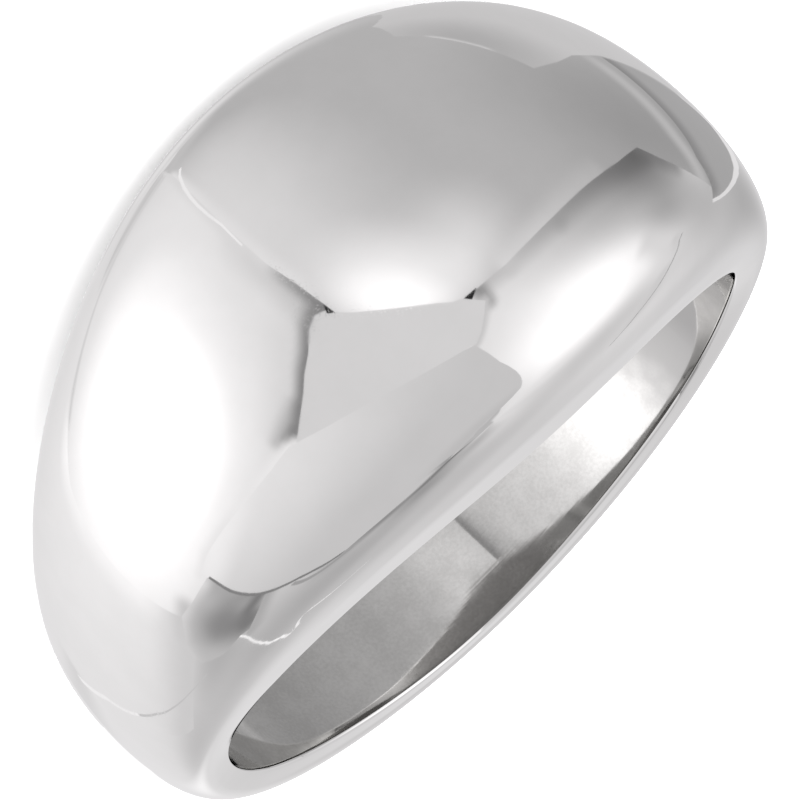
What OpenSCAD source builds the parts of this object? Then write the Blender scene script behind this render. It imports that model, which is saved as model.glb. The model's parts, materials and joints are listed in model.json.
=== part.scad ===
// Dome ring in polished white metal, cast in one piece. A high dome over the finger narrows through
// the shoulders into a slim shank. The ring lies on its side as it rests by itself: the lip of the
// dome and the edge of the shank touch the surface, the finger bore leans a little from upright, and
// the dome faces -Y. The origin is under the middle of the ring, on the surface that it rests on.

/* [Finger bore] */
// Diameter of the finger bore
bore_d = 17.3; // [15.7:0.1:20.6]
// Radius of the polished lip between the bore and the side walls
lip_r = 0.12; // [0.06:0.02:0.2]

/* [Dome] */
// Width of the band across the top of the dome
dome_w = 11.5; // [9:0.1:14]
// Thickness of the metal over the bore at the crown
dome_t = 4.6; // [3.6:0.1:6]

/* [Shank] */
// Width of the shank behind the finger
shank_w = 3.1; // [2.6:0.1:4.5]
// Thickness of the shank behind the finger
shank_t = 1.9; // [1.5:0.1:2.4]

/* [Smoothness] */
// Number of sections round the finger
section_count = 96; // [60:6:108]
// Steps from the crown line of a section to its side wall
half_steps = 22; // [12:1:24]

/* [Hidden] */

bore_r = bore_d / 2;

// Columns of the section table. Width and thickness are shares of the way from the shank to the dome.
// Wall is the height in mm of the straight side wall over the bore, lean is how far in mm the wall
// draws in at its foot, and full is the exponent of the crown's curve: 2 is an ellipse, more is squarer.
WIDTH = 0;
THICKNESS = 1;
WALL = 2;
FULL = 3;
LEAN = 4;
// One row for each section, 30 degrees apart, from the crown of the dome round to the back of the shank
sections = [
    // width, thickness, wall, full, lean
    [1.00, 1.00, 1.90, 4.1, 0.35],
    [0.82, 0.86, 1.35, 3.4, 0.15],
    [0.52, 0.31, 0.80, 2.9, 0.00],
    [0.28, -0.05, 0.65, 2.6, 0.10],
    [0.12, -0.06, 0.65, 2.2, 0.10],
    [0.02, 0.05, 0.75, 2.5, 0.00],
    [0.00, 0.00, 0.75, 2.5, 0.00],
];

last_row = len(sections) - 1;
row_step = 180 / last_row;

function total(values) = values * [for (value = values) 1];
function halved_at_ends(i) = (i == 0 || i == last_row) ? 0.5 : 1;

// A cosine series runs through the rows, so the polished surface has no kink anywhere round the finger
// and the two sides of the ring mirror each other
waves = [
    for (column = [WIDTH:LEAN])
        [
            for (k = [0:last_row])
                halved_at_ends(k) * 2 / last_row * total([
                    for (i = [0:last_row])
                        halved_at_ends(i) * sections[i][column] * cos(k * i * row_step)
                ])
        ]
];
function along(column, angle) = waves[column] * [for (k = [0:last_row]) cos(k * angle)];

// Sizes of the section at an angle round the finger from the crown
function half_width(angle) = (shank_w + (dome_w - shank_w) * along(WIDTH, angle)) / 2;
function thickness(angle) = shank_t + (dome_t - shank_t) * along(THICKNESS, angle);
// The wall takes at most this share of the thickness, so that a thin band keeps its rounded crown
wall_share = 0.6;
function wall_height(angle) = min(along(WALL, angle), wall_share * thickness(angle));

// The lip is an arc that starts a little off the bore's wall, where it leaves a fine edge
lip_angles = [20, 55, 90];
// How far the ends of a section dip into the bore, which trims them
dip = 0.5;
// Steps bunch towards the side wall, where the crown curves most
bunching = 1.7;

// One half of a section, from the bore over the lip, the side wall and the crown to beside the crown
// line, as points [across the band from its middle, out from the bore]
function half_section(angle) =
    let (
        edge = half_width(angle),
        foot = edge - along(LEAN, angle),
        wall = wall_height(angle),
        rise = thickness(angle) - wall,
        power = 2 / along(FULL, angle)
    )
    concat(
        [[foot - lip_r - dip, -dip]],
        [for (a = lip_angles) [foot - lip_r * (1 - sin(a)), lip_r * (1 - cos(a))]],
        [
            for (step = [0:half_steps - 1])
                let (turn = 90 * (1 - pow(step / half_steps, bunching)))
                [edge * sin(turn), wall + rise * pow(cos(turn), power)]
        ]
    );

// A whole section, from the lower lip over the crown to the upper one
function section(angle) =
    let (half = half_section(angle))
    concat(
        [for (point = half) [-point[0], point[1]]],
        [[0, thickness(angle)]],
        [for (i = [len(half) - 1:-1:0]) half[i]]
    );

// The skin of the ring, section by section round the finger, with the bore along Z
section_step = 360 / section_count;
skin = [
    for (i = [0:section_count - 1])
        let (angle = i * section_step)
        for (point = section(angle))
            let (r = bore_r + point[1])
            [r * sin(angle), -r * cos(angle), point[0]]
];
section_size = len(section(0));
function corner(i, j) = (i % section_count) * section_size + j % section_size;
skin_faces = [
    for (i = [0:section_count - 1])
        for (j = [0:section_size - 1])
            for (half = [[corner(i, j), corner(i, j + 1), corner(i + 1, j + 1)],
                         [corner(i, j), corner(i + 1, j + 1), corner(i + 1, j)]])
                half
];

// The ring tips until the crown's section and the back's section stand equally low. Side is 1 at the
// crown and -1 at the back.
function heights(profile, side, tilt) =
    [for (point = profile) side * (bore_r + point[1]) * sin(tilt) + point[0] * cos(tilt)];
function lowest(profile, side, tilt) =
    let (levels = heights(profile, side, tilt))
    [for (i = [0:len(levels) - 1]) if (levels[i] == min(levels)) profile[i]][0];
function settled(tilt, tries) =
    tries == 0
        ? tilt
        : let (
              crown = lowest(section(0), 1, tilt),
              back = lowest(section(180), -1, tilt)
          )
          settled(atan2(back[0] - crown[0], 2 * bore_r + crown[1] + back[1]), tries - 1);
first_guess = 12;
tries = 6;
rest_tilt = settled(first_guess, tries);

// Where the tipped skin reaches, which puts the origin under its middle
depths = [for (point = skin) point[1] * cos(rest_tilt) + point[2] * sin(rest_tilt)];
levels = [for (point = skin) point[2] * cos(rest_tilt) - point[1] * sin(rest_tilt)];
middle_y = (min(depths) + max(depths)) / 2;
surface_z = min(levels);
// The cutter for the bore runs this far past the widest section at each end
bore_overrun = 1;

module dome_band() {
    color([0.85, 0.85, 0.84])
        translate([0, -middle_y, -surface_z])
            rotate([-rest_tilt, 0, 0])
                difference() {
                    polyhedron(points = skin, faces = skin_faces, convexity = 4);
                    cylinder(r = bore_r, h = dome_w + 2 * bore_overrun, center = true, $fn = 180);
                }
}

dome_band();
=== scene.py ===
import json
import math

import bmesh
import bpy
import numpy as np
from mathutils import Matrix, Vector
from mathutils.geometry import delaunay_2d_cdt


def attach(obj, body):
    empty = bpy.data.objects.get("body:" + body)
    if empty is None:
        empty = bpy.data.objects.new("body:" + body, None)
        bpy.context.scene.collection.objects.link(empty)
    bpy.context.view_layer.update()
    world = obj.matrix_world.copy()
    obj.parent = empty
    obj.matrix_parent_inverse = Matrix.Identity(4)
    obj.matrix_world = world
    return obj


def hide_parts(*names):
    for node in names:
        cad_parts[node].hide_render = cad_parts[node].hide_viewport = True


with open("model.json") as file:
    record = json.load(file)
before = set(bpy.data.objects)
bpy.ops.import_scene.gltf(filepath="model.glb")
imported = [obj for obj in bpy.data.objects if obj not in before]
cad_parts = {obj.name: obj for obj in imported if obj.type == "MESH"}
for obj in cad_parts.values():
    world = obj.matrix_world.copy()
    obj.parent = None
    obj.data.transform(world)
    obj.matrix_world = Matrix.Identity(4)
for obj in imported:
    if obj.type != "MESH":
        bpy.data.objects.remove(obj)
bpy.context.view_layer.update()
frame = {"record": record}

# Cast band: one solid casting in white metal. The dome, the shoulders and the shank are filed to one
# flowing skin, mirror polished outside, and left with the fine turned grain of a mandrel in the bore.
# Sizes are in millimetres, and the bore's place and lean come from the frame's own mount.
MM = 0.001
bore = frame["record"]["mounts"][0]
bore_radius = bore["dims"]["r_mm"]
bore_centre = Vector(bore["pos_m"])
bore_axis = Vector(bore["axis"]).normalized()
lean_back = Matrix.Rotation(-math.atan2(bore_axis.y, bore_axis.z), 3, "X")
dome_width, shank_width = 11.5, 3.1
dome_thickness, shank_thickness = 4.6, 1.9
# The bore opens out this much towards its ends, along a curve of this power, so that it slides on easily
lip_flare, flare_power = 0.02, 7
# At each end of the bore, a flat oval lip reaches this far across the band and this far out
lip_across, lip_out = 0.14, 0.055
# The table has a row for every 30 degrees from the crown to the back of the shank. Width and thickness
# are shares of the way from the shank to the dome. Wall is the height of the side wall over the bore,
# full is the power of the crown's curve, and lean is how far the wall draws in at its foot.
sections = np.array([
    # width, thickness, wall, full, lean
    [1.00, 1.00, 1.90, 4.1, 0.35],
    [0.82, 0.86, 1.35, 3.4, 0.15],
    [0.52, 0.31, 0.80, 2.9, 0.00],
    [0.28, -0.05, 0.65, 2.6, 0.10],
    [0.12, -0.06, 0.65, 2.2, 0.02],
    [0.02, 0.05, 0.75, 2.5, -0.09],
    [0.00, 0.00, 0.75, 2.5, -0.14],
])
# Steps along a section bunch towards the lip in the bore, and towards the side wall over the crown
sections_round = 480
bore_steps, bore_bunching = 26, 2.0
lip_steps = 10
wall_steps = 4
crown_steps, crown_bunching = 40, 1.7


def cosine_series(rows):
    """The table's columns as waves round the finger, which run smoothly through every row."""
    counts = np.arange(len(rows))
    last = len(rows) - 1
    ends = np.ones(len(rows))
    ends[[0, -1]] = 0.5
    waves = np.cos(np.pi / last * np.outer(counts, counts))
    return 2 / last * ends[:, None] * (waves @ (ends[:, None] * rows))


def section_at(waves, angle):
    """Half of the section at an angle from the crown, as (across, out) points from the bore's middle
    over the lip and the side wall to beside the crown line, and then the point on the crown line."""
    width, thickness, wall, full, lean = np.cos(angle * np.arange(len(waves))) @ waves
    edge = (shank_width + (dome_width - shank_width) * width) / 2
    crown = shank_thickness + (dome_thickness - shank_thickness) * thickness
    foot = edge - lean
    # The oval starts where it is as steep as the end of the flare, so the bore runs into it smoothly
    flare_turn = math.atan(flare_power * lip_flare / (foot - lip_across) * lip_across / lip_out)
    bore_edge = foot - lip_across * (1 - math.sin(flare_turn))
    lip_top = lip_flare + lip_out * math.cos(flare_turn)
    points = []
    for step in range(bore_steps):
        share = 1 - (1 - step / bore_steps) ** bore_bunching
        points.append((bore_edge * share, lip_flare * share ** flare_power))
    for step in range(lip_steps):
        turn = flare_turn + (math.pi / 2 - flare_turn) * step / lip_steps
        points.append((foot - lip_across * (1 - math.sin(turn)), lip_top - lip_out * math.cos(turn)))
    for step in range(wall_steps):
        share = step / wall_steps
        points.append((foot + lean * share, lip_top + (wall - lip_top) * share))
    for step in range(crown_steps, 0, -1):
        turn = math.pi / 2 * (1 - (1 - step / crown_steps) ** crown_bunching)
        points.append((edge * math.sin(turn), wall + (crown - wall) * math.cos(turn) ** (2 / full)))
    return points, (0.0, crown)


def band_mesh(name):
    """The band's whole skin, section by section round the finger, with the bore's faces in slot 1."""
    waves = cosine_series(sections)
    loops = []
    for i in range(sections_round):
        angle = 2 * math.pi * i / sections_round
        half, crown_point = section_at(waves, angle)
        loop = half + [crown_point] + [(-across, out) for across, out in reversed(half[1:])]
        loops.append([
            bore_centre + lean_back @ (MM * Vector((
                (bore_radius + out) * math.sin(angle), -(bore_radius + out) * math.cos(angle), across)))
            for across, out in loop
        ])
    size = len(loops[0])
    faces, slots = [], []
    for i in range(sections_round):
        near, far = i * size, (i + 1) % sections_round * size
        for j in range(size):
            after = (j + 1) % size
            faces.append((near + j, near + after, far + after, far + j))
            slots.append(1 if j < bore_steps or j >= size - bore_steps else 0)
    mesh = bpy.data.meshes.new(name)
    mesh.from_pydata([point for loop in loops for point in loop], [], faces)
    mesh.polygons.foreach_set("material_index", slots)
    mesh.shade_smooth()
    work = bmesh.new()
    work.from_mesh(mesh)
    bmesh.ops.recalc_face_normals(work, faces=work.faces)
    work.to_mesh(mesh)
    work.free()
    return mesh


class Socket:
    """A node's output in an expression. Each operator adds its Math node to the same tree."""

    def __init__(self, tree, link):
        self.tree, self.link = tree, link

    def math(self, operation, *values):
        return self.tree.node("ShaderNodeMath", {"operation": operation}, values)

    def __add__(self, other):
        return self.math("ADD", self, other)

    def __sub__(self, other):
        return self.math("SUBTRACT", self, other)

    def __rsub__(self, other):
        return self.math("SUBTRACT", other, self)

    def __mul__(self, other):
        return self.math("MULTIPLY", self, other)

    __radd__ = __add__
    __rmul__ = __mul__


class Tree:
    """A shader's node tree, with one method that adds any node."""

    def __init__(self, owner):
        owner.use_nodes = True
        self.nodes, self.links = owner.node_tree.nodes, owner.node_tree.links
        self.nodes.clear()

    def node(self, kind, settings=None, values=(), output=0):
        """Adds a node, sets it up, and then fills its sockets with values or links by name or in order."""
        made = self.nodes.new(kind)
        for key, setting in (settings or {}).items():
            setattr(made, key, setting)
        pairs = values.items() if isinstance(values, dict) else enumerate(values)
        for key, value in pairs:
            if isinstance(value, Socket):
                self.links.new(value.link, made.inputs[key])
            else:
                made.inputs[key].default_value = value
        return Socket(self, made.outputs[output]) if made.outputs else made


def vector_math(tree, operation, values, output="Vector"):
    return tree.node("ShaderNodeVectorMath", {"operation": operation}, values, output)


def from_to(tree, value, low, high, to_low=0.0, to_high=1.0):
    """A value eased from one range to another, flat beyond both ends."""
    return tree.node("ShaderNodeMapRange", {"interpolation_type": "SMOOTHSTEP"},
                     [value, low, high, to_low, to_high])


def mixed(tree, share, first, second, blend_type="MIX"):
    """The first colour with this share of the second."""
    return tree.node("ShaderNodeMix", {"data_type": "RGBA", "blend_type": blend_type},
                     {"Factor": share, "A": first, "B": second}, output=2)


def noise(tree, place, scale, detail=2.0, roughness=0.5, output=0):
    """A noise with this many cells to a metre."""
    return tree.node("ShaderNodeTexNoise", {"noise_dimensions": "3D"},
                     {"Vector": place, "Scale": scale, "Detail": detail, "Roughness": roughness}, output)


def band_place(tree):
    """A point's place on the band, in metres from the bore's centre."""
    place = tree.node("ShaderNodeTexCoord", output="Object")
    return vector_math(tree, "SUBTRACT", [place, bore_centre])


def section_place(tree, place):
    """How far across and out a place is, and no more, for what runs round the finger."""
    across = vector_math(tree, "DOT_PRODUCT", [place, bore_axis], "Value")
    along = vector_math(tree, "PROJECT", [place, bore_axis])
    out = vector_math(tree, "LENGTH", [vector_math(tree, "SUBTRACT", [place, along])], "Value")
    return tree.node("ShaderNodeCombineXYZ", values=[across, out, 0.0])


# Noises are given as scale, detail and roughness, and depths in metres
white_metal = (0.868, 0.862, 0.856, 1.0)
hazy_metal = (0.85, 0.845, 0.838, 1.0)
haze_noise = (900.0, 3.0, 0.6)
swell_noise, swell_depth = (420.0, 1.0), 0.0000012
hairline_patches = (260.0, 1.0)
hairline_stretch, hairline_edge = 0.02, 0.06
hairline_depth, hairline_roughness = 0.00000008, 0.05
hairline_lays = [
    # turn in radians, spacing in metres, and how high a peak has to be to show
    ((0.3, 0.9, 0.2), 0.00005, 0.66),
    ((1.2, 0.1, 2.1), 0.00004, 0.68),
    ((2.0, 1.4, 0.7), 0.00006, 0.67),
]


def hairlines(tree, place, turn, spacing, peak):
    """Rare fine scratches in one direction: a noise drawn out long, whose peaks show in patches."""
    drawn = tree.node("ShaderNodeMapping", values={
        "Vector": place, "Rotation": turn, "Scale": (1 / spacing, hairline_stretch / spacing, 1 / spacing)})
    lines = noise(tree, drawn, scale=1.0, detail=1.0)
    patches = noise(tree, place, *hairline_patches)
    return from_to(tree, lines, peak, peak + hairline_edge) * from_to(tree, patches, low=0.5, high=0.62)


def polished_metal():
    """White metal after the last buff: a mirror with the buff's faint swell and rare hairlines."""
    material = bpy.data.materials.new("mirror_polished_white_metal")
    tree = Tree(material)
    place = band_place(tree)
    haze = noise(tree, place, *haze_noise)
    scratches = sum(hairlines(tree, place, *lay) for lay in hairline_lays)
    swelled = tree.node("ShaderNodeBump", values={
        "Height": noise(tree, place, *swell_noise), "Distance": swell_depth, "Strength": 1.0})
    scored = tree.node("ShaderNodeBump", {"invert": True}, {
        "Height": scratches, "Distance": hairline_depth, "Strength": 1.0, "Normal": swelled})
    buffed = from_to(tree, haze, low=0.25, high=0.8, to_low=0.02, to_high=0.05)
    shader = tree.node("ShaderNodeBsdfPrincipled", values={
        "Base Color": mixed(tree, from_to(tree, haze, low=0.3, high=0.7), white_metal, hazy_metal),
        "Metallic": 1.0, "IOR": 2.2, "Roughness": buffed + scratches * hairline_roughness,
        "Normal": scored})
    tree.node("ShaderNodeOutputMaterial", values={"Surface": shader})
    return material


bore_light, bore_dark = (0.705, 0.70, 0.688, 1.0), (0.605, 0.60, 0.588, 1.0)
# Painted shade: the bore's darker colour towards one side of the dome
side_shade_colour = (0.42, 0.416, 0.411, 1.0)
# Painted shade: the bore's darker colour under the dome
dome_shade_colour, pit_shade = (0.33, 0.325, 0.319, 1.0), (0.7, 0.695, 0.69, 1.0)
bore_haze_noise = (1400.0, 1.0)
speckle_noise, speckle_share = (11000.0, 2.0, 0.6), 0.55
grain_noise, grain_depth, grain_roughness = (9000.0, 1.0), 0.0000003, 0.02
# A pit is this many times as deep as the grain
pitting_noise, pit_depth = (5200.0, 4.0, 0.75), 6.0
cast_roughness = 0.3
# How far, in metres, the grain strays as it runs round, and the borders of the painted shades stray
grain_stray_scale, grain_stray = 150.0, 0.0003
border_stray = 0.001


def round_the_bore(degrees):
    """The direction out of the bore at this angle from the middle of the dome."""
    angle = math.radians(degrees)
    return lean_back @ Vector((math.sin(angle), -math.cos(angle), 0.0))


# Each painted shade starts and is full at these distances, in metres, from the bore's centre in its
# direction. The one under the dome also brings the rough, pitted skin of the casting.
# Painted shade in the bore, towards one side of the dome
side_shade_direction, side_shade_start, side_shade_full = round_the_bore(-75), 0.0046, 0.0061
# Painted shade in the bore under the dome. The same mask gives the casting's rough, pitted skin.
skin_and_shade_direction, skin_and_shade_start, skin_and_shade_full = round_the_bore(-20), 0.0043, 0.0071


def bore_metal():
    """White metal in the bore: a hazy polish with a fine grain that runs round the finger. Painted shade
    darkens its colour towards one side of the dome, and more under the dome, where the bore also keeps the
    rough, pitted skin of the casting."""
    material = bpy.data.materials.new("hazy_white_metal")
    tree = Tree(material)
    place = band_place(tree)
    stray = noise(tree, place, grain_stray_scale, output="Color")
    strayed = vector_math(tree, "SCALE", {"Vector": stray, "Scale": grain_stray})
    grain_place = vector_math(tree, "ADD", [section_place(tree, place), strayed])
    grain = noise(tree, grain_place, *grain_noise)
    haze = noise(tree, place, *bore_haze_noise)
    speckle = noise(tree, place, *speckle_noise)
    pitting = noise(tree, place, *pitting_noise)
    towards_side_shade, towards_skin_and_shade = (
        vector_math(tree, "DOT_PRODUCT", [place, direction], "Value") + (haze - 0.5) * border_stray
        for direction in (side_shade_direction, skin_and_shade_direction))
    # Masks of painted shade: towards one side of the dome, and under the dome together with the casting's
    # rough skin
    side_shade = from_to(tree, towards_side_shade, side_shade_start, side_shade_full)
    skin_and_shade = from_to(tree, towards_skin_and_shade, skin_and_shade_start, skin_and_shade_full)
    mottle = from_to(tree, haze * (1 - speckle_share) + speckle * speckle_share, low=0.3, high=0.7)
    polish = mixed(tree, mottle, bore_light, bore_dark)
    # Painted shade darkens the bore's colour in both masks
    dome_shaded = mixed(tree, skin_and_shade, mixed(tree, side_shade, polish, side_shade_colour), dome_shade_colour)
    # The pits lie only in the shaded, rough skin under the dome
    pits = skin_and_shade * from_to(tree, pitting, low=0.3, high=0.7)
    rubbed = from_to(tree, haze, low=0.3, high=0.75, to_low=0.03, to_high=0.07)
    shader = tree.node("ShaderNodeBsdfPrincipled", values={
        "Base Color": mixed(tree, pits, dome_shaded, pit_shade, "MULTIPLY"),
        "Metallic": 1.0, "IOR": 1.6,
        "Roughness": rubbed + grain * grain_roughness + skin_and_shade * cast_roughness,
        "Normal": tree.node("ShaderNodeBump", values={
            "Height": grain + skin_and_shade * pitting * pit_depth, "Distance": grain_depth, "Strength": 1.0})})
    tree.node("ShaderNodeOutputMaterial", values={"Surface": shader})
    return material


band = bpy.data.objects.new("polished_dome_band", band_mesh("polished_dome_band"))
bpy.context.scene.collection.objects.link(band)
band.data.materials.append(polished_metal())
band.data.materials.append(bore_metal())
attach(band, "root")
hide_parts("dome_band")

# Table: a plain sheet of pale matt paper, some metres across, that the ring lies on. The metal doesn't
# mirror it, but the light tent, which goes on under the sheet.
table_size = 6.0
paper_colour = (0.93, 0.93, 0.93, 1.0)
paper = bpy.data.materials.new("pale_paper")
paper_tree = Tree(paper)
paper_tree.node("ShaderNodeOutputMaterial", values={
    "Surface": paper_tree.node("ShaderNodeBsdfDiffuse", values={"Color": paper_colour})})
table = bpy.data.objects.new("table", bpy.data.meshes.new("table"))
corners = [(x * table_size / 2, y * table_size / 2, 0.0) for x, y in ((-1, -1), (1, -1), (1, 1), (-1, 1))]
table.data.from_pydata(corners, [], [(0, 1, 2, 3)])
table.data.materials.append(paper)
bpy.context.scene.collection.objects.link(table)
table.visible_glossy = False

# Room light: even white light from all sides, with no lamp of its own. It lights the paper alone,
# because the light tent closes round the ring in all that the metal mirrors.
room_colour, room_strength = (1.0, 1.0, 1.0, 1.0), 2.8
room = bpy.data.worlds.new("open_light")
bpy.context.scene.world = room
room_tree = Tree(room)
room_tree.node("ShaderNodeOutputWorld", values={
    "Surface": room_tree.node("ShaderNodeBackground", values={
        "Color": room_colour, "Strength": room_strength})})

# Light tent: a white cloth globe round the table, with lamps that glow through it, and grey sheets and
# narrow tapes hung inside it. It shows in the polished metal alone. Places on it are (azimuth, elevation)
# in degrees from the ring, with azimuth 0 on the -Y side and 90 on the +X side.
tent_radius = 1.2
layer_step = 0.02
tape_layer = 9
cloth_weave = 1.0
cloth_colour = np.array([1.0, 0.989, 0.999])
tent_cloth = bpy.data.materials.new("tent_cloth")
cloth_tree = Tree(tent_cloth)
cloth_tree.node("ShaderNodeOutputMaterial", values={"Surface": cloth_tree.node("ShaderNodeEmission", values={
    "Color": cloth_tree.node("ShaderNodeAttribute", {"attribute_name": "light"}, output="Color")})})
tent_cloth.cycles.emission_sampling = "NONE"


def directions(places):
    """Unit vectors towards rows of (azimuth, elevation)."""
    azimuth, elevation = np.radians(places).T
    return np.stack([np.sin(azimuth) * np.cos(elevation), -np.cos(azimuth) * np.cos(elevation),
                     np.sin(elevation)], axis=-1)


def light(tone):
    """The light that reads as this tone of the picture, from 0 to 1, once the metal has mirrored it."""
    curve_offset, curve_power = 0.055, 2.4
    return ((tone + curve_offset) / (1 + curve_offset)) ** curve_power / white_metal[0]


def blend(level, nearness, tone):
    """Light eased towards a tone, fully where nearness is 1."""
    near = np.clip(nearness, 0, 1)
    share = near * near * (3 - 2 * near)
    return share * light(tone) + (1 - share) * level


def glow(level, places, azimuth, elevation, half_length, half_height, tilt, tone):
    """A soft oval of a tone, with its long side tilted this many degrees."""
    side = (places[:, 0] - azimuth + 180) % 360 - 180
    up = places[:, 1] - elevation
    level_part, upright_part = math.cos(math.radians(tilt)), math.sin(math.radians(tilt))
    length = (side * level_part + up * upright_part) / half_length
    height = (up * level_part - side * upright_part) / half_height
    return blend(level, 1 - np.hypot(length, height), tone)


def shade(level, places, route, reach, start_tone, end_tone=None):
    """A soft band that fades out this many degrees from a route. Its tone may change along the route."""
    away, along = np.full(len(places), np.inf), np.zeros(len(places))
    for k, (start, end) in enumerate(zip(np.array(route[:-1], float), np.array(route[1:], float))):
        leg = end - start
        share = np.clip((places - start) @ leg / (leg @ leg), 0, 1)
        distance = np.linalg.norm(places - start - share[:, None] * leg, axis=1)
        along = np.where(distance < away, (k + share) / (len(route) - 1), along)
        away = np.minimum(away, distance)
    end_tone = start_tone if end_tone is None else end_tone
    return blend(level, 1 - away / reach, start_tone + (end_tone - start_tone) * along)


def lit(places, tone, glows):
    """How bright cloth of one tone is at each place, under its glows and shades in turn. A row that
    starts with a route is a shade, and any other is a glow."""
    level = np.full(len(places), light(tone))
    for row in glows:
        level = shade(level, places, *row) if isinstance(row[0], list) else glow(level, places, *row)
    return level


def hang(name, layer, places, faces, tone, glows):
    """Bends a cloth that is drawn in azimuth and elevation round the ring, and lights it."""
    places = np.array(places, float)
    mesh = bpy.data.meshes.new(name)
    mesh.from_pydata((tent_radius - layer_step * layer) * directions(places), [], faces)
    colours = np.ones((len(places), 4))
    colours[:, :3] = lit(places, tone, glows)[:, None] * cloth_colour
    mesh.color_attributes.new("light", "FLOAT_COLOR", "POINT").data.foreach_set("color", colours.ravel())
    mesh.materials.append(tent_cloth)
    cloth = bpy.data.objects.new(name, mesh)
    bpy.context.scene.collection.objects.link(cloth)
    cloth.visible_camera = cloth.visible_diffuse = cloth.visible_shadow = False


def globe(name, tone, glows):
    """Cloth all round, as a grid that closes on itself behind the ring."""
    columns, rows = int(360 / cloth_weave), int(180 / cloth_weave)
    places = [(360 * i / columns - 180, 180 * j / rows - 90)
              for j in range(rows + 1) for i in range(columns + 1)]
    faces = []
    for j in range(rows):
        for i in range(columns):
            low, high = j * (columns + 1) + i, (j + 1) * (columns + 1) + i
            faces.append((low, low + 1, high + 1, high))
    hang(name, 0, places, faces, tone, glows)


def sheet(name, layer, corners, tone, glows=()):
    """A sheet in front of the globe with straight sides between its corners. A higher layer is nearer."""
    edge = []
    for start, end in zip(corners, corners[1:] + corners[:1]):
        start, end = Vector(start), Vector(end)
        parts = math.ceil((end - start).length / cloth_weave)
        edge += [start.lerp(end, k / parts) for k in range(parts)]
    lows, highs = np.min(corners, axis=0), np.max(corners, axis=0)
    weave = [Vector((azimuth, elevation)) for azimuth in np.arange(lows[0], highs[0], cloth_weave)
             for elevation in np.arange(lows[1], highs[1], cloth_weave)]
    keep_inside, closeness = 1, 1e-4
    places, edges, faces, *origins = delaunay_2d_cdt(
        edge + weave, [], [list(range(len(edge)))], keep_inside, closeness)
    hang(name, layer, places, faces, tone, glows)


def tape(name, route, widths, tone):
    """A narrow tape along a route, drawn from its first width to its last."""
    left, right = [], []
    for k, place in enumerate(route):
        before, after = Vector(route[max(k - 1, 0)]), Vector(route[min(k + 1, len(route) - 1)])
        along = (after - before).normalized()
        width = widths[0] + (widths[1] - widths[0]) * (k / (len(route) - 1))
        aside = Vector((-along.y, along.x)) * width / 2
        left.append(tuple(Vector(place) + aside))
        right.append(tuple(Vector(place) - aside))
    sheet(name, tape_layer, left + right[::-1], tone)


# Seams and edges, where two sheets meet or a tape lies
seam_left = [(-91, -9), (-80, -5.2), (-70, -2.5), (-60, 0), (-50, 2.5), (-40, 4.7), (-30, 6.6), (-20, 7.5)]
seam_middle = [(-16, 7.6), (-13, 6.9), (-10, 5.3), (-5, 3), (0, 0.7), (5, -1.8), (7.8, -3.6)]
seam_right = [(9.2, -4.8), (11.5, -5.3), (15, -4.6), (20, -2.4), (25, -0.8), (30, 1.3), (35, 3.1),
              (40, 4.9), (43.5, 6.1)]
seam_lamp = [(43.5, 6.1), (46, 5.2), (55, 4.7), (65, 3.2), (75, 0.8), (85, -1.8), (90, -3), (97, -3.5)]
seam_side = [(96.7, -1), (97.8, 1.5), (100.7, 7), (102.8, 12), (105.4, 18), (107, 22), (109.5, 28),
             (112, 33), (116, 37.5), (120.5, 41), (124.5, 45)]
seam_down = [(7.8, -5), (8.5, -10), (9.8, -15), (10.2, -25), (11, -45), (11, -86)]
seam_back = [(123.5, 15.3), (126, 17.4), (130, 19.4), (135, 20.9), (142, 22.4), (150, 22.8), (159.7, 21.5),
             (165, 20.0), (168.4, 18.2)]
corner_left = [(-17, 8.9), (-19.5, 10.8), (-16.5, 14), (-13, 17.5), (-9.8, 19.8)]
corner_top = [(-8.5, 19.3), (-5, 18.8), (5, 17), (15, 14.8), (25, 12.2), (35, 9.3), (43.5, 6.1)]
front_left = [(-31.5, 70), (-25, 61), (-20.5, 53), (-16.8, 45), (-12.5, 34), (-10.8, 26), (-9.3, 19.8)]
left_piping = [(-123, -0.5), (-126.5, -3.5), (-129, -6.5), (-132.7, -12), (-136.3, -17), (-141, -22),
               (-146, -26), (-150, -28.5)]
shade_edge = [(-118.8, -28.6), (-117.8, -20), (-116.8, -12), (-121, -5)]

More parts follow.
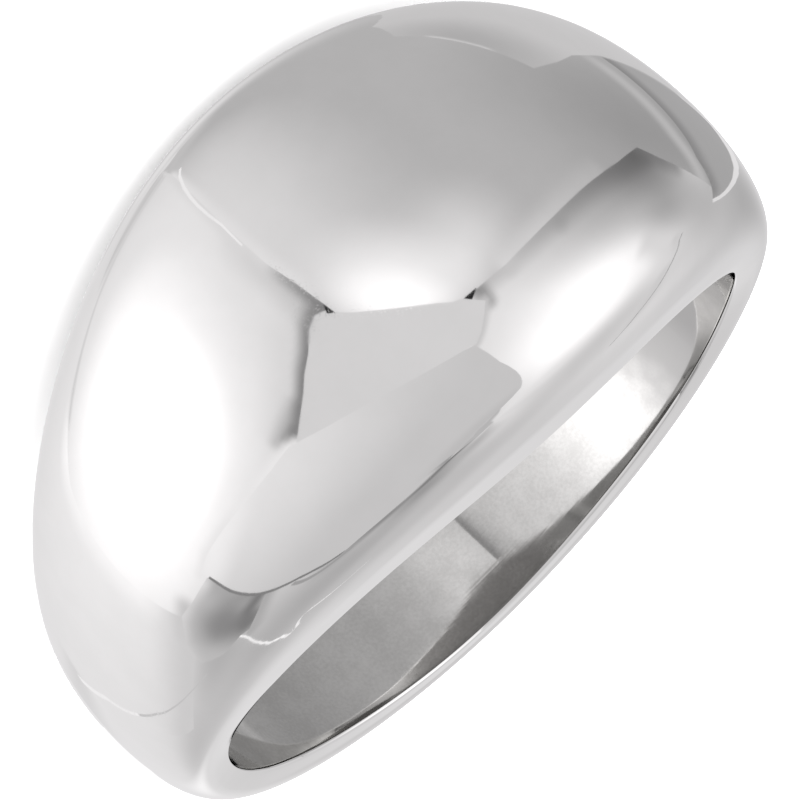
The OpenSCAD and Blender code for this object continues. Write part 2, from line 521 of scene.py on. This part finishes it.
# What lights and shades the cloth. A tone is how bright the cloth reads in the metal.
left_lamp = [(-62, 42, 95, 65, 0, 0.95), (-58, 42, 58, 38, 0, 1.10)]
right_lamp = [(74, -26, 60, 34, 0, 1.14), (66, -20, 34, 18, 0, 1.22)]
right_lamp_haze = [
    (80, -30, 112, 54, 0, 0.95),
    (60, -95, 110, 30, 0, 0.76),
    ([(12, -79), (60, -81), (100, -77)], 8, 0.78),
    ([(8, -77.6), (45, -76.5), (71, -73), (87, -68.7), (97, -61), (107, -52.5)], 4, 0.82),
]
top_haze = [([(20, 86), (110, 86)], 11, 0.715), ([(-8, 79), (20, 83), (70, 82), (120, 80)], 7, 0.715)]
far_side = [
    (126, 8, 24, 18, 0, 0.72),
    (-140, 44, 44, 46, 0, 0.79),
    (150, 36, 74, 70, 0, 0.68),
    (180, 30, 22, 34, 0, 0.745),
    (140, 66, 38, 17, -22, 0.57),
    (126, 56, 14, 24, 0, 0.56),
    ([(104, 78), (112, 74), (126, 67)], 8, 0.46),
    (155, 76, 50, 20, 0, 0.70),
    (160, 0, 30, 19, 0, 0.745),
    (-167, 6, 12, 18, 0, 0.79),
    (180, -13, 9, 14, 0, 0.95),
    ([(165, -34), (182, -33)], 3, 0.82),
    ([(-150, 20), (-140, 24), (-130, 25.5), (-120, 24), (-110, 19)], 5, 0.80),
    ([(-118, 24), (-88, 20)], 9, 0.85),
    ([(109, -7), (117, -7)], 5, 0.78),
    (-118, 3, 36, 24, 0, 0.72),
    (-140, -12, 34, 28, 0, 0.67),
    ([(-160, -36), (-150, -41), (-140, -46)], 4, 0.72),
]
# Under the left lamp, where the floor sheet meets the cloth
left_seam_shade = [
    (-70, 3, 58, 20.5, 5, 0.69),
    (-94, 4, 26, 18, 0, 0.645),
    (-86, -6, 30, 13, 13, 0.46),
    (seam_left[:5], 6, 0.38, 0.62),
    (seam_left[4:7], 5, 0.62, 0.77),
    (seam_left[6:], 4.5, 0.77, 0.74),
    ([(-103, -7), (-98, -7.5), (-91, -9)], 5, 0.55, 0.44),
    ([(-20, 8), (-20, 11)], 4, 0.57),
    (corner_left[1:], 2.5, 0.78),
]
# Under the corner sheet, and beside the seam that runs down from it
corner_shade = [
    ([(10, -5), (20, -3), (30, 1), (43, 5.5)], 10, 0.84),
    ([(9, -5), (10.5, -20)], 9, 0.74, 0.84),
    ([(34, 2), (46, 3.5)], 4, 0.70),
    (seam_right, 3, 0.50),
    ([(40, 4.5), (44, 4.8)], 3, 0.52),
    ([(8.5, -5), (9.8, -17)], 3, 0.49, 0.78),
    ([(10, -16), (11, -45), (12, -80)], 4, 0.85),
    (seam_lamp, 3, 0.92),
]

globe("tent_globe", tone=0.86, glows=(
    left_lamp + right_lamp_haze + top_haze + right_lamp + far_side + left_seam_shade + corner_shade))
sheet(
    "right_card", layer=1, tone=0.86,
    corners=[(112, -3), (113, -25), (113, -42), (108, -52), (98, -60), (85, -68), (70, -76), (72, -89),
             (150, -89), (150, -3)],
    glows=right_lamp_haze + far_side + [
        ([(112, -4), (150, -4)], 15, 0.80),
        ([(110, -22), (110, -46)], 12, 0.99),
    ])
sheet(
    "back_sheet", layer=1, tone=0.86,
    corners=(seam_side[5:] + [(130, 52), (150, 57), (179, 57), (179, 18)] + seam_back[:0:-1]
             + [(120, 19.4), (115, 20.3), (107, 21.2)]),
    glows=right_lamp_haze + far_side + [([(106, 22), (125, 20)], 6, 0.68)])
sheet(
    "front_sheet", layer=2, tone=0.775,
    corners=(seam_lamp + seam_side + [(122, 55), (117, 65), (108, 74), (60, 82), (20, 79), (-15, 77),
                                      (-26, 74)] + front_left),
    glows=[
        (60, -5, 90, 50, 0, 0.90),
        (82, -2, 40, 10, 0, 0.95),
        ([(-20, 76), (90, 76)], 14, 0.745),
        ([(92, 76), (104, 77), (112, 74), (126, 67)], 8, 0.60, 0.46),
    ])
sheet(
    "corner_sheet", layer=3, tone=0.825,
    corners=seam_middle + seam_right + corner_top[-2::-1] + corner_left[::-1])
sheet(
    "floor_sheet", layer=4, tone=0.70,
    corners=seam_left + seam_middle + seam_down + [
        (-179, -86), (-179, -60), (-150, -46), (-143, -28), (-120, -28), (-119, -15), (-122, -5),
        (-110, -6), (-98, -7.5)],
    glows=[
        (-100, -14, 60, 26, 0, 0.60),
        (8, -25, 46, 66, 0, 0.85),
        (-160, -74, 110, 32, 0, 0.88),
        (-60, -92, 120, 18, 0, 0.88),
        (-22, 1, 25, 12, 12, 0.87),
        (-8, -1, 22, 12, -20, 0.96),
        (-4, 1, 15, 8, -27, 1.06),
        (seam_down[1:], 4, 0.88),
        (seam_left[2:7], 5, 0.71, 0.84),
        ([(-116, -6), (-112, -15), (-112, -26)], 5, 0.72),
        ([(-60, -87), (10, -75)], 12, 0.755),
    ])
sheet(
    "left_card", layer=5, tone=0.77,
    corners=[(-150, -29), (-119, -28.8), (-105, -27.5), (-95, -25.5), (-84, -23.8), (-80, -30), (-76, -36),
             (-73, -40.5), (-80, -45), (-90, -50), (-105, -51), (-120, -50.5), (-135, -48.5), (-150, -44)],
    glows=[
        (-82, -32, 28, 20, 0, 0.68),
        ([(-81, -29), (-77, -35.5)], 1.4, 0.80),
    ])
sheet("shade_card", layer=6, tone=0.64, corners=left_piping + shade_edge, glows=[(shade_edge, 7, 0.54)])
sheet(
    "dark_card", layer=7, tone=0.74,
    corners=[(97, -1.5)] + seam_side[1:5] + [
        (107, 21.2), (115, 20.3), (120, 19.4), (123.5, 18.7), (123.5, 15.3), (127, 10), (126, 0),
        (120, -6), (112, -8), (106, -4.8)],
    glows=[
        ([(103, 15), (104, 8), (99, 3)], 9, 0.60, 0.68),
        ([(113, 6), (111, -7)], 10, 0.57, 0.77),
        ([(118, 17), (113.5, 8)], 13, 0.50, 0.54),
        ([(106, 19), (112, 16), (118, 17)], 5, 0.49),
        ([(99, -4), (106, -8), (113, -10), (121, -8), (128, -2)], 6, 0.90, 0.80),
    ])
tape("side_tape", seam_side, widths=(0.8, 2.0), tone=0.50)
tape("side_fold", [(113, 31), (118, 34), (123, 37.5), (127, 41), (130, 47)], widths=(1.5, 3.0), tone=0.62)
tape("back_piping", seam_back, widths=(0.8, 0.4), tone=0.98)
tape("left_piping", left_piping, widths=(1.4, 1.4), tone=0.86)
tape(
    "back_thread",
    [(-112.5, 15), (-114, 17.5), (-118, 19.4), (-122.6, 21.6), (-127.5, 23), (-133.7, 23.4), (-139.3, 22.9),
     (-144, 22), (-148, 20.8), (-152, 18.5), (-156, 17)],
    widths=(0.6, 0.6), tone=0.62)
tape(
    "down_piping",
    [(10.6, -20), (10.6, -26), (11.4, -31), (11.8, -36), (11.8, -41), (11.3, -48), (9.5, -57), (6.5, -62.5)],
    widths=(0.5, 1.6), tone=0.93)
tape(
    "hem_line",
    [(168.4, 18.2), (171.4, 16.3), (173, 15.4), (172.4, 16.6), (170, 18.6), (167.3, 20.9), (166.2, 22.2),
     (167.8, 22.1), (171.8, 20.2), (174.3, 18.8), (176.4, 18), (178, 19)],
    widths=(0.4, 0.4), tone=0.93)
tape("right_hem", [(131, 3), (135, -4), (140, -12), (145, -19), (150, -24)], widths=(0.5, 0.5), tone=0.76)
tape("right_hem_shine", [(150, -24), (157, -30), (165, -33.7)], widths=(0.5, 0.7), tone=0.93)
tape("back_slit", [(-166, -29.5), (-158, -32.5), (-150, -34.5)], widths=(3.0, 1.5), tone=0.97)
tape("far_slit", [(-177, -30.8), (-167, -31)], widths=(2.5, 2.5), tone=0.97)
# Two small dark gaps, where the corner sheet leaves the floor sheet
sheet("left_gap", tape_layer, [(-20, 7.3), (-17, 8.9), (-15.6, 7.7)], tone=0.12)
sheet("right_gap", tape_layer, [(7.7, -3.4), (9.2, -4.2), (8, -5.4)], tone=0.15)

# Camera: a long lens, close over the shoulder of the dome. It is rolled, so the ring stands on the slant.
# The angles are in degrees, for a ring with its dome up and its bore along -Y, and the centre is the
# bore's centre in the picture.
camera_azimuth, camera_elevation, camera_roll = -36.604, 64.663, 7.968
camera_distance = 300.0
pixels_per_mm = 40.155
centre_pixel = (410.06, 451.10)
picture_pixels = 800
sensor_width = 36.0
near_clip = 0.01

to_frame = lean_back @ Matrix(((-1, 0, 0), (0, 0, -1), (0, -1, 0)))
towards, level_right = (to_frame @ Vector(direction) for direction in directions(
    [(camera_azimuth, camera_elevation), (camera_azimuth + 90, 0.0)]))
level_up = towards.cross(level_right)
roll = math.radians(camera_roll)
picture_right = math.cos(roll) * level_right - math.sin(roll) * level_up
picture_up = math.sin(roll) * level_right + math.cos(roll) * level_up
shift_right = (picture_pixels / 2 - centre_pixel[0]) / pixels_per_mm * MM
shift_up = (centre_pixel[1] - picture_pixels / 2) / pixels_per_mm * MM
aim = bore_centre + shift_right * picture_right + shift_up * picture_up
turn = Matrix((picture_right, picture_up, towards)).transposed().to_4x4()
camera = bpy.data.objects.new("camera", bpy.data.cameras.new("camera"))
bpy.context.scene.collection.objects.link(camera)
camera.matrix_world = Matrix.Translation(aim + camera_distance * MM * towards) @ turn
camera.data.sensor_width = sensor_width
camera.data.lens = pixels_per_mm * camera_distance / picture_pixels * sensor_width
camera.data.clip_start = near_clip
bpy.context.scene.camera = camera
bpy.context.scene.view_settings.view_transform = "Standard"
